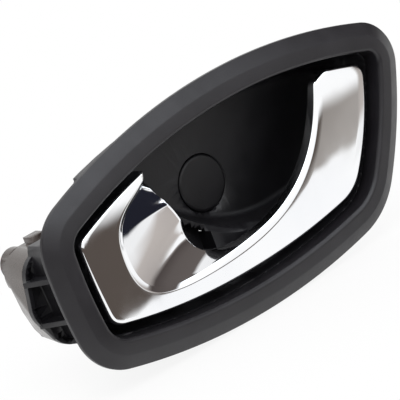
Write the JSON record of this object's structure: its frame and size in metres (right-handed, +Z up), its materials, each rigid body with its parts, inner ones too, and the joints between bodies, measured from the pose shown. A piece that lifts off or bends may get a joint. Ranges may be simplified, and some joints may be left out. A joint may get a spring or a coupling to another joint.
{
  "type": "car interior door handle",
  "caption": "Car interior door handle: oval bezel and finger bowl with a chrome pull lever on a sprung hinge, a round screw cover and a rear case with a cable seat.",
  "frame": {"origin": "on the fixing screw's axis, at the rear face of the steel sleeve, where the handle is screwed to the door's inner panel", "axes": "+X from the hinge end to the free end, +Y into the door along the fixing screw, +Z up"},
  "size_m": [0.1479, 0.0426, 0.0755],
  "materials": {
    "bezel_plastic": "fine grained charcoal",
    "bowl_plastic": "fine grained black",
    "cap_plastic": "satin black",
    "lever_chrome": "bright plated",
    "inner_plastic": "satin dark grey",
    "case_plastic": "gloss black",
    "plated_steel": "zinc plated",
    "spring_steel": "dark spring steel",
    "bush_plastic": "natural acetal",
    "buffer_rubber": "matt black"
  },
  "bodies": {
    "housing": {"housing": "bowl_plastic", "bezel": "bezel_plastic", "screw_cap": "cap_plastic", "fixing_sleeve": "plated_steel", "bush_upper": "bush_plastic", "bush_lower": "bush_plastic", "return_spring": "spring_steel", "buffer_near_end": "buffer_rubber", "buffer_far_end": "buffer_rubber", "rear_case": "case_plastic", "case_screw_upper": "plated_steel", "case_screw_lower": "plated_steel", "case_screw_inner": "plated_steel", "trim_clip_end": "spring_steel", "trim_clip_bottom": "spring_steel"},
    "lever": {"lever": "lever_chrome", "lever_backing": "inner_plastic", "lever_carrier": "inner_plastic", "pivot_pin": "plated_steel", "pin_clip": "spring_steel"}
  },
  "joints": [
    {"name": "lever_pivot", "type": "hinge", "parent": "housing", "child": "lever", "pos_m": [-0.0564, -0.0279, -0.005], "axis": [0, 0, -1], "range_deg": [0, 28], "stiffness_Nm_per_rad": 0.25, "springref_deg": -34.38, "deforming": ["return_spring"]}
  ]
}
